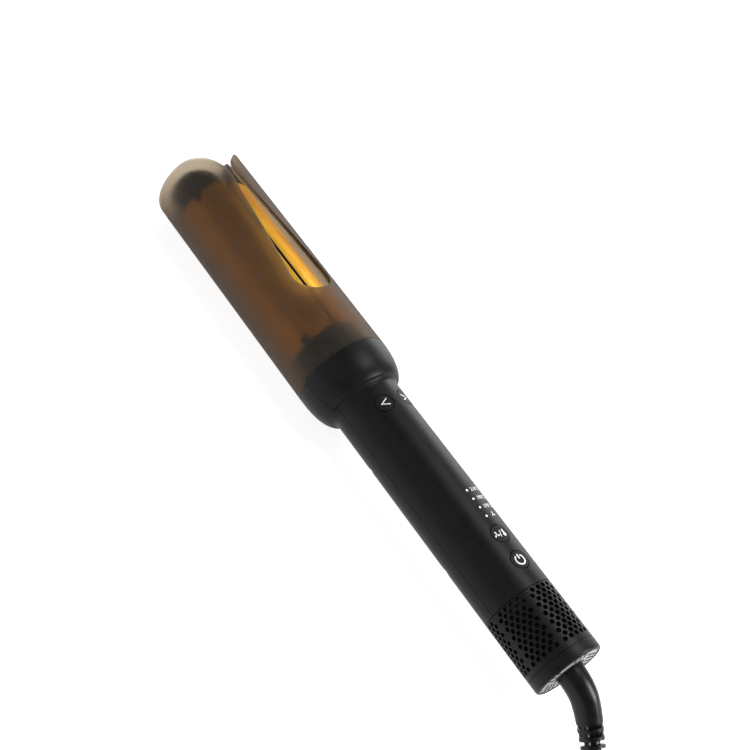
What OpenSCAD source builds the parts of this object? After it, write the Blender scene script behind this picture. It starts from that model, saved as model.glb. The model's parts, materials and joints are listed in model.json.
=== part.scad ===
// Automatic rotating hair curler with its mains lead.
// It lies on its back on a table: +Y runs from the cord end to the tip, +Z is the side
// with the buttons, z = 0 is the table, and the tool's own box is centred on x = 0, y = 0.
// Every piece of the tool is drawn upright first: its axis is Z, its base is at z = 0, and
// its front, the side with the buttons, faces -Y. lie_down() then lays it on the table.

/* [Body] */
// Outer diameter of the handle
handle_d = 36; // [35.6:0.2:36.4]
// Outer diameter of the open guard and of the bell's mouth
guard_d = 50.6; // [50:0.2:52]
// Outer diameter of the heated barrel
barrel_d = 38; // [37.6:0.2:38.4]
// Height of the ring round the base
base_h = 6; // [5.5:0.5:7]
// Height of the perforated air intake
cage_h = 32; // [32:0.5:34]
// Length of the straight handle, from the intake to the bell
handle_len = 125; // [124:0.5:128]
// Length of the bell
bell_h = 20; // [19.5:0.5:21]
// Length of the guard in front of the bell
guard_len = 143; // [140:1:150]
// Wall of the handle and the bell
housing_wall = 2; // [1.8:0.1:2.2]
// Wall of the guard
guard_wall = 2.5; // [2:0.1:2.6]

/* [Guard slot] */
// Radius of the slot's round bottom
slot_bottom_r = 11; // [9:0.5:12]
// Radius of the slot's neck
slot_neck_r = 2.1; // [2.1:0.1:2.6]
// Height of the round bottom's centre above the bell
slot_bottom_up = 48; // [45:0.5:52]
// Distance from the neck's centre to the tip
slot_neck_down = 20; // [18:0.5:22]

/* [Barrel] */
// Height of the gold shells
gold_len = 108; // [104:1:110]
// Height of the dark ring under the gold shells
barrel_ring_h = 17; // [16:0.5:18]
// Height of the tip cap
tip_cap_h = 17; // [16:0.5:18]
// Width of the slit that takes the hair
slit_w = 1; // [0.9:0.1:1.3]
// Angle between the slit and the jaw shell's other edge
jaw_arc = 53; // [45:1:60]
// Turn of the barrel at rest, from the guard's slot
barrel_turn = -8; // [-20:1:20]

/* [Drive] */
// Gear module
gear_module = 0.5; // [0.5:0.01:0.5]
// Teeth on the barrel's gear
gear_teeth = 30; // [30:1:30]
// Teeth on the motor's pinion
pinion_teeth = 10; // [10:1:10]
// Gap between two meshed tooth flanks
backlash = 0.16; // [0.14:0.01:0.2]
// Radial clearance between the barrel's shaft and its bushes
shaft_clearance = 0.05; // [0.02:0.01:0.1]

/* [Controls] */
// Diameter of the mode and power buttons
button_d = 9.3; // [9:0.1:9.4]
// Gap round each button
button_gap = 0.4; // [0.3:0.05:0.45]
// Angle of each arrow button from the front line
arrow_angle = 22.5; // [22:0.5:24]
// Spacing of the four lights
light_pitch = 5.15; // [4.8:0.05:5.4]

/* [Intake] */
// Diameter of each intake hole
intake_hole_d = 2.3; // [2:0.1:2.4]
// Fields of holes round the intake
intake_fields = 6; // [6:1:6]
// Rows of holes in each field
intake_rows = 12; // [8:1:12]

/* [Cord] */
// Diameter of the mains lead
cord_d = 6; // [6:0.1:6.1]
// Length of the hank's straight runs
hank_run = 90; // [86:1:96]

/* [Hidden] */
$fn = 96;

handle_r = handle_d / 2;
handle_ri = handle_r - housing_wall;
guard_r = guard_d / 2;
guard_ri = guard_r - guard_wall;
barrel_r = barrel_d / 2;
barrel_wall = 1.4;
barrel_ri = barrel_r - barrel_wall;

// Levels along the axis, upwards from the base
z_cage = base_h;
z_handle = z_cage + cage_h;
z_bell = z_handle + handle_len;
z_mouth = z_bell + bell_h;
z_tip = z_mouth + guard_len;
z_gold = z_mouth + barrel_ring_h;
z_cap = z_gold + gold_len;
z_cap_top = z_cap + tip_cap_h;
tool_len = z_tip;

black = "#1c1c1d";
dark = "#2b2b2c";
gold = "#c99a3b";
steel = "#b9bcc0";
brass = "#c9a54a";
board_green = "#1f5a35";

// ---- Helpers ----

module lie_down() { translate([0, -tool_len / 2, guard_r]) rotate([-90, 0, 0]) children(); }

// A ring, or a washer, about the tool's axis
module ring(ri, ro, z0, z1) { rotate_extrude() translate([ri, z0]) square([ro - ri, z1 - z0]); }

// Part of a ring; its angles are counted from the front, positive to the viewer's right
module arc_ring(ri, ro, z0, z1, a0, a1) {
  rotate([0, 0, a0 - 90]) rotate_extrude(angle = a1 - a0) translate([ri, z0]) square([ro - ri, z1 - z0]);
}

// Children drawn pointing along +Z are put on the front at angle a and height z, pointing outwards
module outwards(a, z) { rotate([0, 0, a]) translate([0, 0, z]) rotate([90, 0, 0]) children(); }

// ---- Housing: the handle and the bell, split into a front and a rear half ----

// Rounding of the bell's shoulder: a superellipse from the handle out to the mouth
bell_round = 2.2;
bell_over = 1;
bell_run = bell_h + bell_over - 0.1;
bell_fillet = 2.5;
bell_steps = 14;
housing_split = 0.2;

function bell_t(dr) = pow(1 - pow(dr / (guard_r - handle_r), bell_round), 1 / bell_round);
function bell_z(dr) = z_mouth + bell_over - bell_run * bell_t(dr);
function bell_r(z) = handle_r + (guard_r - handle_r)
  * pow(max(0, 1 - pow((z_mouth + bell_over - z) / bell_run, bell_round)), 1 / bell_round);

z_shoulder = bell_z(bell_fillet);
fillet_line = [for (i = [0:6]) [handle_r + bell_fillet - bell_fillet * cos(15 * i),
                                z_shoulder - bell_fillet + bell_fillet * sin(15 * i)]];
shoulder_line = [for (i = [1:bell_steps])
  let (z = z_shoulder + (z_mouth - z_shoulder) * pow(i / bell_steps, 1.8)) [bell_r(z), z]];
inner_line = [for (i = [bell_steps:-1:0])
  let (z = z_shoulder + 2 + (z_mouth - z_shoulder - 2) * pow(i / bell_steps, 1.4))
  [bell_r(z) - housing_wall - 0.1, z]];

module housing_shell() {
  rotate_extrude() polygon(concat([[handle_r, z_handle]], fillet_line, shoulder_line, inner_line,
                                  [[handle_ri, z_shoulder], [handle_ri, z_handle]]));
}

screw_x = 12.6;
screw_heights = [z_handle + 32, z_handle + 94];
front_post_r = 2.3;
rear_post_r = 3.2;
screw_shank_r = 1.1;
screw_head_r = 2.2;
screw_head_y = 9;
screw_head_h = 1.5;
screw_tip_y = -7;

module at_screws() {
  for (x = [-screw_x, screw_x], z = screw_heights) translate([x, 0, z]) rotate([-90, 0, 0]) children();
}

module half_housing(side, post_r) {
  intersection() {
    union() {
      housing_shell();
      intersection() {
        at_screws() translate([0, 0, -handle_r]) cylinder(r = post_r, h = 2 * handle_r);
        cylinder(r = handle_r - 0.8, h = z_bell);
      }
    }
    translate([-guard_r - 1, side > 0 ? housing_split / 2 : -guard_r - 1, z_handle - 1])
      cube([2 * guard_r + 2, guard_r + 1 - housing_split / 2, z_mouth - z_handle + 2]);
  }
}

// Buttons: [angle from the front, height, diameter]
z_power = z_handle + 13;
z_mode = z_handle + 28.1;
z_arrows = z_handle + 112.3;
arrow_d = button_d - 0.3;
left_place = [-arrow_angle, z_arrows, arrow_d];
right_place = [arrow_angle, z_arrows, arrow_d];
mode_place = [0, z_mode, button_d];
power_place = [0, z_power, button_d];
button_places = [left_place, right_place, mode_place, power_place];
button_travel = 0.5;
flange_out = 0.95;
flange_low = handle_ri - 1.4;
flange_top = handle_ri - 0.6;
seat_depth = handle_ri - 0.4;

// Lights: small windows on the front line
light_d = 1.15;
light_gap = 0.08;
z_lights = z_handle + 38.5;
light_heights = [for (i = [0:3]) z_lights + i * light_pitch];

module front_housing() {
  color(black) lie_down() difference() {
    half_housing(-1, front_post_r);
    for (p = button_places) outwards(p[0], p[1]) {
      cylinder(d = p[2] + 2 * button_gap, h = handle_r + 2);
      cylinder(r = p[2] / 2 + flange_out + button_gap, h = seat_depth);
    }
    for (z = light_heights) outwards(0, z) cylinder(d = light_d + 2 * light_gap, h = handle_r + 2);
    at_screws() translate([0, 0, -handle_ri + 6]) cylinder(r = screw_shank_r + 0.05, h = handle_ri);
  }
}

// Lips on the rear half that close the joint from inside, between the screw posts and the motor's plate
lip_t = 0.7;
lip_turn = 6;
motor_top = z_handle + 113;
lip_spans = [[z_handle + 7, screw_heights[0] - 5], [screw_heights[0] + 5, screw_heights[1] - 5],
             [screw_heights[1] + 5, motor_top - 1], [motor_top + 2.5, z_bell - 4]];

module lips() {
  for (s = [-1, 1], span = lip_spans) rotate([0, 0, s < 0 ? 180 : 0]) {
    arc_ring(handle_ri - 0.1 - lip_t, handle_ri - 0.1, span[0], span[1],
             s < 0 ? 90 - lip_turn + 1 : 90 - lip_turn, s < 0 ? 90 + lip_turn : 90 + lip_turn - 1);
    arc_ring(handle_ri - 0.2 - lip_t, handle_ri + 0.5, span[0] + 0.5, span[1] - 0.5,
             s < 0 ? 90 - lip_turn : 92, s < 0 ? 88 : 90 + lip_turn);
  }
}

module rear_housing() {
  color(black) lie_down() difference() {
    union() {
      half_housing(1, rear_post_r);
      lips();
    }
    at_screws() {
      translate([0, 0, -1]) cylinder(r = screw_shank_r + 0.25, h = handle_r + 2);
      translate([0, 0, screw_head_y]) cylinder(r = screw_head_r + 0.25, h = handle_r);
    }
  }
}

module housing_screws() {
  color(steel) lie_down() at_screws() difference() {
    union() {
      translate([0, 0, screw_tip_y]) cylinder(r = screw_shank_r, h = screw_head_y - screw_tip_y + 0.2);
      translate([0, 0, screw_head_y]) cylinder(r = screw_head_r, h = screw_head_h);
    }
    for (a = [0, 90]) rotate([0, 0, a]) translate([-1.3, -0.25, screw_head_y + screw_head_h - 0.7])
      cube([2.6, 0.5, 1]);
  }
}

// ---- Guard: a smoked open tube with a funnel mouth ----

skirt_r = guard_r - housing_wall - 0.45;
skirt_wall = 1.7;
skirt_down = 5;
slot_z = z_mouth + slot_bottom_up;
neck_z = z_tip - slot_neck_down;
slot_lean = asin((slot_bottom_r - slot_neck_r) / (neck_z - slot_z));
funnel_steps = 16;
seam_turn = -22.5; // keeps the seam of the turned shape clear of the slot

// Mouth of the funnel: two quarter ellipses that fall from the tip to the neck
function shoulder(half_w, neck, z_low, z_high, n) = [for (i = [0:n])
  let (a = 90 * i / n) [half_w - (half_w - neck) * cos(a), z_low + (z_high - z_low) * sin(a)]];
function mirrored(line) = [for (i = [len(line) - 1:-1:0]) [-line[i][0], line[i][1]]];

module funnel_outline(half_w, neck, z_low, z_high) {
  line = shoulder(half_w, neck, z_low, z_high, funnel_steps);
  polygon(concat(line, [[half_w + 2, z_high], [half_w + 2, z_high + 5], [-half_w - 2, z_high + 5],
                        [-half_w - 2, z_high]], mirrored(line)));
}

module slot_outline() {
  c = cos(slot_lean);
  s = sin(slot_lean);
  translate([0, slot_z]) circle(r = slot_bottom_r);
  translate([0, neck_z]) circle(r = slot_neck_r);
  polygon([[slot_bottom_r * c, slot_z + slot_bottom_r * s], [slot_neck_r * c, neck_z + slot_neck_r * s],
           [-slot_neck_r * c, neck_z + slot_neck_r * s], [-slot_bottom_r * c, slot_z + slot_bottom_r * s]]);
  funnel_outline(guard_r + 1.5, slot_neck_r, neck_z, z_tip + 0.6);
}

module guard_shell() {
  rim_r = guard_wall / 2;
  rim = [for (a = [0:22.5:180]) [guard_r - rim_r + rim_r * cos(a), z_tip - rim_r + rim_r * sin(a)]];
  color("#4a3d33", 0.6) lie_down() difference() {
    rotate([0, 0, seam_turn]) rotate_extrude() polygon(concat(
      [[skirt_r - skirt_wall, z_mouth - skirt_down], [skirt_r, z_mouth - skirt_down],
       [skirt_r, z_mouth + 0.1], [guard_r, z_mouth + 0.1]],
      rim, [[guard_ri, z_mouth + 3], [skirt_r - skirt_wall, z_mouth + 2]]));
    rotate([90, 0, 0]) linear_extrude(guard_r + 2) slot_outline();
  }
}

// ---- Air intake and base ----

cage_wall = 1.6;
base_joint = 0.2;
cage_joint = 0.35;
cage_ri = handle_r - cage_wall;
row_pitch = 2.36;
column_step = 11.3;
first_row = z_cage + 4;

module intake_cage() {
  color(black) lie_down() difference() {
    ring(cage_ri, handle_r, z_cage + base_joint, z_handle - cage_joint);
    for (f = [0:intake_fields - 1], row = [0:intake_rows - 1]) {
      wide = row % 2 == 0;
      for (c = wide ? [-2:2] : [-1.5:1.5])
        outwards(f * 360 / intake_fields + c * column_step, first_row + row * row_pitch)
          translate([0, 0, cage_ri - 2]) cylinder(d = intake_hole_d, h = 5, $fn = 24);
    }
  }
}

module dust_filter() {
  color("#3a3a3a") lie_down() ring(cage_ri - 0.9, cage_ri - 0.3, z_cage + 1.2, z_handle - 6);
}

base_round = 1.6;
plate_r = handle_r - 1.8;

module base_ring() {
  rim = [for (i = [0:6]) [handle_r - base_round + base_round * cos(-90 + 15 * i),
                          base_round + base_round * sin(-90 + 15 * i)]];
  color(black) lie_down() rotate_extrude() polygon(concat(rim, [[handle_r, z_cage], [cage_ri - 0.1, z_cage],
    [cage_ri - 0.1, z_cage + 1], [cage_ri - 1.2, z_cage + 1], [cage_ri - 1.2, 2.4], [plate_r, 2.4],
    [plate_r, 0]]));
}

gland_r = 8.3;
boot_r = 7.1;

// Groups of parallel vents: [angle of the first, radial one, side the others lie on, count]
vent_groups = [[157.5, 1, 5], [112.5, -1, 5], [337.5, 1, 3], [292.5, -1, 3]];
vent_pitch = 2.9;
vent_w = 1.2;
vent_in = 9.6;
vent_out = 15.2;

module base_vent_plate() {
  color("#b8b8b6") lie_down() difference() {
    ring(gland_r, plate_r - 0.05, 0.4, 2.2);
    for (group = vent_groups, i = [0:group[2] - 1]) {
      aside = i * vent_pitch;
      from = aside < vent_in ? sqrt(vent_in * vent_in - aside * aside) : 0.5;
      to = sqrt(vent_out * vent_out - aside * aside);
      rotate([0, 0, group[0]]) translate([group[1] * aside - vent_w / 2, -to, -1])
        cube([vent_w, to - from, 5]);
    }
  }
}

module cord_gland() { color(dark) lie_down() ring(boot_r + 0.05, gland_r - 0.05, 0.1, 9); }

// ---- Fan ----

fan_r = 14.4;
fan_hub_r = 5.2;
fan_low = z_handle - 5;
fan_h = 9;
fan_blades = 9;
fan_motor_r = 6.4;
fan_shaft_r = 1;

module fan_impeller() {
  color(dark) lie_down() {
    difference() {
      union() {
        cylinder_at(fan_hub_r, fan_low, fan_low + fan_h);
        intersection() {
          ring(fan_hub_r - 0.5, fan_r, fan_low + 0.2, fan_low + fan_h - 0.2);
          for (i = [0:fan_blades - 1]) rotate([0, 0, i * 360 / fan_blades])
            translate([fan_r / 2, 0, fan_low + fan_h / 2]) rotate([48, 0, 0])
              cube([fan_r + 2, 0.9, fan_h * 1.6], center = true);
        }
      }
      cylinder_at(fan_hub_r - 1.2, fan_low + 3, fan_low + fan_h + 1);
      cylinder_at(fan_shaft_r, fan_low - 1, fan_low + fan_h);
    }
    cylinder_at(fan_shaft_r, fan_low + 0.5, fan_low + fan_h + 4.5);
  }
}

module cylinder_at(r, z0, z1) { translate([0, 0, z0]) cylinder(r = r, h = z1 - z0); }

module fan_carrier() {
  top = fan_low + fan_h;
  color(black) lie_down() difference() {
    union() {
      ring(fan_r + 0.5, handle_ri - 0.1, z_handle - 0.3, top + 2.4);
      ring(fan_r + 0.5, cage_ri - 0.15, fan_low - 0.5, z_handle - 0.2);
      ring(fan_motor_r + 0.02, fan_motor_r + 1.1, top + 0.5, top + 6);
      for (a = [60, 180, 300]) rotate([0, 0, a]) translate([-0.8, -fan_r - 0.8, top + 0.5])
        cube([1.6, fan_r - fan_motor_r, 1.9]);
    }
    translate([-10, -handle_r - 1, top + 1.6]) cube([20, 8, 6]);
  }
}

module fan_motor() {
  low = fan_low + fan_h + 0.6;
  color(steel) lie_down() difference() {
    cylinder_at(fan_motor_r, low, low + 14);
    cylinder_at(fan_shaft_r + 0.05, low - 1, low + 5);
  }
}

// ---- Electronics ----

board_y = -11;
board_t = 1.2;
board_w = 18;
board_low = z_handle + 8.2;
board_high = z_handle + 104;
board_front = -board_y + board_t;
switch_top = flange_low - 0.55;

module control_board() {
  color(board_green) lie_down() {
    translate([-board_w / 2, board_y - board_t, board_low])
      cube([board_w, board_t, board_high - board_low]);
    for (z = light_heights) translate([-1, -board_front - 0.7, z - 0.8]) cube([2, 0.71, 1.6]);
    translate([-4, board_y - 0.01, z_handle + 62]) cube([8, 1.5, 8]);
  }
}

module tact_switches() {
  color(steel) lie_down() for (p = button_places) outwards(p[0], p[1]) {
    foot = p[1] > board_high ? bracket_r : board_front;
    translate([-3, -3, foot]) cube([6, 6, 1]);
    translate([0, 0, foot + 0.9]) cylinder(r = 1.6, h = switch_top - foot - 0.9);
  }
}

bracket_r = 12.3;

module switch_bracket() {
  color(dark) lie_down() difference() {
    arc_ring(bracket_r - 1.2, bracket_r, z_arrows - 6, z_arrows + 6, -38, 38);
    translate([-2, -handle_r, z_arrows + 3]) cube([4, 10, 4]);
  }
}

module light_pipes() {
  color("white") lie_down() for (z = light_heights) outwards(0, z) {
    translate([0, 0, board_front + 0.9]) cylinder(d = light_d, h = handle_r - board_front - 0.95);
    translate([0, 0, board_front + 0.9]) cylinder(r = 1.2, h = 1);
  }
}

module push_button(p) {
  intersection() {
    outwards(p[0], p[1]) union() {
      translate([0, 0, flange_low]) cylinder(r = p[2] / 2 + flange_out, h = flange_top - flange_low);
      translate([0, 0, flange_low + 0.1]) cylinder(d = p[2], h = handle_r - flange_low);
    }
    cylinder_at(handle_r - 0.05, z_handle, z_bell);
  }
}

module left_button() { color(black) lie_down() push_button(left_place); }
module right_button() { color(black) lie_down() push_button(right_place); }
module mode_button() { color(black) lie_down() push_button(mode_place); }
module power_button() { color(black) lie_down() push_button(power_place); }

power_low = z_handle + 30;
power_y = 10;

module power_board() {
  color(board_green) lie_down() translate([-board_w / 2, power_y, power_low]) cube([board_w, board_t, 40]);
}

module power_parts() {
  color("#30343a") lie_down() {
    translate([-4.2, power_y - 4.3, power_low + 3]) cylinder(r = 4.2, h = 15);
    translate([1, power_y - 8, power_low + 4]) cube([7, 7.9, 12]);
    translate([-7, power_y - 7, power_low + 22]) cube([13, 6.9, 12]);
  }
}

// ---- Drive ----

gear_r = gear_module * gear_teeth / 2;
pinion_r = gear_module * pinion_teeth / 2;
centre_distance = gear_r + pinion_r;
pressure_angle = 25;
tip_height = 0.8;
root_depth = 1.15;
flank_steps = 5;
gear_low = z_shoulder + 1.2;
gear_h = 4;
shaft_r = 4;
bush_r = 6;
motor_r = 5.5;
plate_low = motor_top;
plate_h = 1.5;
bearing_low = z_handle + 122.2;
bearing_h = 2;
bulkhead_low = z_bell + 9;
bulkhead_h = 3;

// Involute tooth: half its angle at radius r, for a gear with n teeth
function inv(a) = tan(a) * 180 / PI - a;
function half_tooth(n, r) =
  let (rp = gear_module * n / 2, rb = rp * cos(pressure_angle))
  90 / n - backlash / 4 / rp * 180 / PI + inv(pressure_angle) - inv(acos(min(1, rb / r)));

module gear_outline(n) {
  rp = gear_module * n / 2;
  rb = rp * cos(pressure_angle);
  ra = rp + tip_height * gear_module;
  rd = rp - root_depth * gear_module;
  r_start = max(rb, rd);
  root = [rd * 0.8, rd * sin(half_tooth(n, r_start)) * 0.8];
  flank = [for (i = [0:flank_steps]) let (r = r_start + (ra - r_start) * i / flank_steps)
           [r * cos(half_tooth(n, r)), r * sin(half_tooth(n, r))]];
  circle(r = rd);
  for (k = [0:n - 1]) rotate(k * 360 / n)
    polygon([[root.x, -root.y], for (p = flank) [p.x, -p.y],
             for (i = [flank_steps:-1:0]) flank[i], root]);
}

module at_motor() { translate([0, centre_distance, 0]) children(); }

module drive_motor() {
  color(steel) lie_down() at_motor() {
    cylinder_at(motor_r, motor_top - 39, motor_top - 15);
    cylinder_at(2, motor_top - 40, motor_top - 38.9);
  }
}

module motor_gearbox() {
  color(brass) lie_down() at_motor() difference() {
    cylinder_at(motor_r - 0.1, motor_top - 15, motor_top);
    cylinder_at(1.05, motor_top - 6, motor_top + 1);
  }
}

module drive_pinion() {
  color(brass) lie_down() at_motor() {
    translate([0, 0, gear_low - 0.3]) linear_extrude(gear_h + 0.6)
      rotate(180 / pinion_teeth - 90) gear_outline(pinion_teeth);
    cylinder_at(1, motor_top - 5, gear_low);
  }
}

module barrel_gear() {
  color("#e8e4d8") lie_down() translate([0, 0, gear_low]) difference() {
    linear_extrude(gear_h) rotate(90) gear_outline(gear_teeth);
    translate([0, 0, -1]) cylinder(r = shaft_r, h = gear_h + 2);
  }
}

module motor_plate() {
  color("#56585c") lie_down() {
    difference() {
      cylinder_at(handle_ri - 0.1, plate_low, plate_low + plate_h);
      at_motor() cylinder_at(1.6, plate_low - 1, plate_low + 5);
      cylinder_at(3, plate_low - 1, plate_low + 5);
      translate([-handle_r, -handle_r - 8.5, plate_low - 1]) cube([2 * handle_r, handle_r, 5]);
    }
    for (x = [-10.9, 10.9]) translate([x, 6.3, plate_low + plate_h - 0.2])
      cylinder(r = 1.6, h = bearing_low - plate_low - plate_h + 0.2);
  }
}

module bearing_plate() {
  color("#56585c") lie_down() difference() {
    cylinder_at(handle_ri - 0.1, bearing_low, bearing_low + bearing_h);
    cylinder_at(bush_r, bearing_low - 1, bearing_low + 5);
    at_motor() cylinder_at(1.6, bearing_low - 1, bearing_low + 5);
  }
}

module lower_bush() {
  color(brass) lie_down() ring(shaft_r + shaft_clearance, bush_r, bearing_low, bearing_low + bearing_h);
}

module upper_bulkhead() {
  color("#56585c") lie_down() difference() {
    union() {
      cylinder_at(bell_r(bulkhead_low) - housing_wall - 0.3, bulkhead_low, bulkhead_low + bulkhead_h);
      ring(bush_r, bush_r + 2, bulkhead_low - 0.6, bulkhead_low + bulkhead_h);
    }
    cylinder_at(bush_r, bulkhead_low - 2, bulkhead_low + 5);
  }
}

module upper_bush() {
  color(brass) lie_down()
    ring(shaft_r + shaft_clearance, bush_r, bulkhead_low - 0.5, bulkhead_low + bulkhead_h);
}

module heat_shield() {
  low = bulkhead_low + bulkhead_h + 0.5;
  color("#d8cfb8") lie_down() ring(shaft_r + 0.6, 20, low, low + 0.8);
}

// ---- Rotating barrel ----

hub_low = z_mouth - 4;
hub_h = 3;
drum_low = plate_low + plate_h + 0.8;
drum_h = 6;
drum_r = 6.6;
track_r = drum_r + 0.7;
track_w = 1.4;
function track_low(i) = drum_low + 1 + 2.6 * i;

module barrel_shaft() { color(steel) lie_down() ring(2.5, shaft_r, drum_low, z_gold - 2); }

module slip_ring_drum() { color(dark) lie_down() ring(shaft_r, drum_r, drum_low, drum_low + drum_h); }

module slip_rings() {
  color(brass) lie_down() for (i = [0, 1])
    ring(drum_r, track_r, track_low(i), track_low(i) + track_w);
}

// Two brushes reach from the block nearly to the tracks
module brush_block() {
  block = [4, 6, 5];
  brush = [2.3, 1.8, 1.2];
  color(dark) lie_down() {
    translate([-13.5, -block.y / 2, drum_low + 0.4]) cube(block);
    for (i = [0, 1]) translate([-track_r - 0.3 - brush.x, -brush.y / 2, track_low(i) + 0.1]) cube(brush);
  }
}

// Children drawn with the slit to the front are turned to where the barrel rests
module turned() { rotate([0, 0, barrel_turn]) children(); }

tab_half = 6.5;
tab_len = 4;
step_len = 3.4;
step_arc = 40;
tab_gap = 0.1;

module barrel_base_ring() {
  color(dark) lie_down() turned() difference() {
    rotate_extrude() polygon([[shaft_r, hub_low], [barrel_r, hub_low], [barrel_r, z_gold + tab_len],
      [barrel_ri - 1, z_gold + tab_len], [barrel_ri - 1, hub_low + hub_h], [shaft_r, hub_low + hub_h]]);
    arc_ring(barrel_ri - 3, barrel_r + 2, z_gold, z_gold + tab_len + 2, tab_half - jaw_arc,
             360 - jaw_arc - tab_half);
  }
}

liner_lip = 0.3;
slit_half = asin((slit_w / 2 + liner_lip + 0.03) / barrel_ri);
joint_half = 0.35;
vent_heights = [z_gold + 23, z_gold + 47, z_gold + 67, z_gold + 85];
vent_size = [1.6, 6];

// Room for a tab of the base ring or the cap, over the joint line
module tab_room(z0, z1) {
  arc_ring(barrel_ri - 1, barrel_r + 1, z0, z1, -jaw_arc - tab_half - 0.3, -jaw_arc + tab_half + 0.3);
}

// Room in the gold shells for the vents, the two tabs and the cap's step
module shell_cuts() {
  for (z = vent_heights) outwards(-jaw_arc, z)
    translate([-vent_size.x / 2, -vent_size.y / 2, barrel_ri - 3]) cube([vent_size.x, vent_size.y, 8]);
  tab_room(z_gold - 1, z_gold + tab_len + tab_gap);
  tab_room(z_cap - tab_len - tab_gap, z_cap + 1);
  arc_ring(barrel_ri - 1, barrel_r + 1, z_cap - step_len - tab_gap, z_cap + 1, 0, step_arc + 0.3);
}

module barrel_main_shell() {
  color(gold) lie_down() turned() difference() {
    arc_ring(barrel_ri, barrel_r, z_gold, z_cap, slit_half, 360 - jaw_arc - joint_half);
    shell_cuts();
  }
}

module barrel_jaw_shell() {
  color(gold) lie_down() turned() difference() {
    arc_ring(barrel_ri, barrel_r, z_gold, z_cap, -jaw_arc + joint_half, -slit_half);
    shell_cuts();
  }
}

liner_w = 4.4;
liner_low = z_gold + 0.2;
slit_floor = 9;

// A block behind the slit, with lips that cover the cut edges of the gold shells
module slit_liner() {
  color(dark) lie_down() turned() difference() {
    union() {
      translate([-liner_w / 2, -barrel_ri + 0.2, liner_low])
        cube([liner_w, barrel_ri - slit_floor + 1.2, z_cap - liner_low - 0.2]);
      translate([-slit_w / 2 - liner_lip, -barrel_r + 0.25, liner_low])
        cube([slit_w + 2 * liner_lip, barrel_wall, z_cap - step_len - 0.3 - liner_low]);
    }
    translate([-slit_w / 2, -barrel_r, liner_low - 1]) cube([slit_w, barrel_r - slit_floor, gold_len + 2]);
  }
}

core_low = z_gold + 4;
core_high = z_cap - 4;
core_r = barrel_ri - 0.4;
pocket_y = 6;
pocket_h = 2.8;
heater_w = 20;

module heater_core() {
  color("#c4c7ca") lie_down() turned() difference() {
    cylinder_at(core_r, core_low, core_high);
    cylinder_at(4, core_low - 1, core_high + 1);
    translate([-liner_w / 2 - 0.2, -barrel_r, core_low - 1])
      cube([liner_w + 0.4, barrel_r - slit_floor + 1.4, gold_len]);
    translate([-heater_w / 2 - 0.2, pocket_y, core_low - 1]) cube([heater_w + 0.4, pocket_h, gold_len]);
    for (x = [-9, 9]) translate([x, -3, core_high - 20]) cylinder(r = 2, h = 25);
  }
}

module ptc_heaters() {
  color("#e9e3d2") lie_down() turned() for (i = [0, 1])
    translate([-heater_w / 2, pocket_y + 0.2, core_low + 4 + 46 * i]) cube([heater_w, pocket_h - 0.4, 42]);
}

module temperature_sensors() {
  color("#d9d9d9") lie_down() turned() {
    translate([-9, -3, core_high - 19]) cylinder(r = 1.8, h = 10);
    translate([9, -3, core_high - 19]) cylinder(r = 1.3, h = 10);
  }
}

cap_round = 3;

module tip_cap() {
  top = [for (i = [0:6])
    [barrel_r - cap_round + cap_round * cos(15 * i), z_cap_top - cap_round + cap_round * sin(15 * i)]];
  below = z_cap - tab_len - 1;
  color(dark) lie_down() turned() difference() {
    rotate_extrude() polygon(concat([[barrel_r, z_cap - tab_len]], top,
      [[0, z_cap_top], [0, z_cap_top - 3], [barrel_ri, z_cap_top - 3], [barrel_ri, z_cap - tab_len]]));
    arc_ring(barrel_ri - 3, barrel_r + 2, below, z_cap + 0.05, tab_half - jaw_arc, 0);
    arc_ring(barrel_ri - 2, barrel_r + 1, below - 1, z_cap - step_len, -2, step_arc + 1);
    arc_ring(barrel_ri - 3, barrel_r + 2, below, z_cap + 0.05, step_arc, 360 - jaw_arc - tab_half);
    translate([0, -5, 0]) rotate([90, 0, 0]) linear_extrude(barrel_r)
      funnel_outline(barrel_r + 8, slit_w / 2 + 0.3, z_cap - 2, z_cap_top + 0.5);
    translate([-slit_w / 2, -barrel_r - 1, z_cap - 5]) cube([slit_w, barrel_r - 5, tip_cap_h + 8]);
  }
}

// ---- Cord and plug: these are placed on the table, not upright ----

lead_r = 1.3;
boot_inside = 6;

// Inside wires: two stubs from the gland up to the fan
module supply_leads() {
  color("#7a2f2a") lie_down() for (x = [-1.6, 1.6])
    translate([x, 0, boot_inside]) cylinder(r = lead_r, h = fan_low - boot_inside - 3);
}

function unit(v) = v / norm(v);
function side_of(t) = unit(cross(t, [0, 0, 1]));

// A tube through the points, with its own radius at each point
module swept_tube(points, radii, sides) {
  n = len(points);
  tangents = [for (i = [0:n - 1]) unit(points[min(i + 1, n - 1)] - points[max(i - 1, 0)])];
  verts = [for (i = [0:n - 1]) let (t = tangents[i], u = side_of(t), w = cross(u, t))
           for (k = [0:sides - 1]) let (a = 360 * k / sides)
           points[i] + radii[i] * (cos(a) * u + sin(a) * w)];
  walls = [for (i = [0:n - 2], k = [0:sides - 1]) let (a = i * sides + k, b = i * sides + (k + 1) % sides)
           each [[a, b, b + sides], [a, b + sides, a + sides]]];
  ends = [[for (k = [sides - 1:-1:0]) k], [for (k = [0:sides - 1]) (n - 1) * sides + k]];
  polyhedron(points = verts, faces = concat(walls, ends), convexity = 6);
}

y_base = -tool_len / 2;
cord_r = cord_d / 2;

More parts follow.
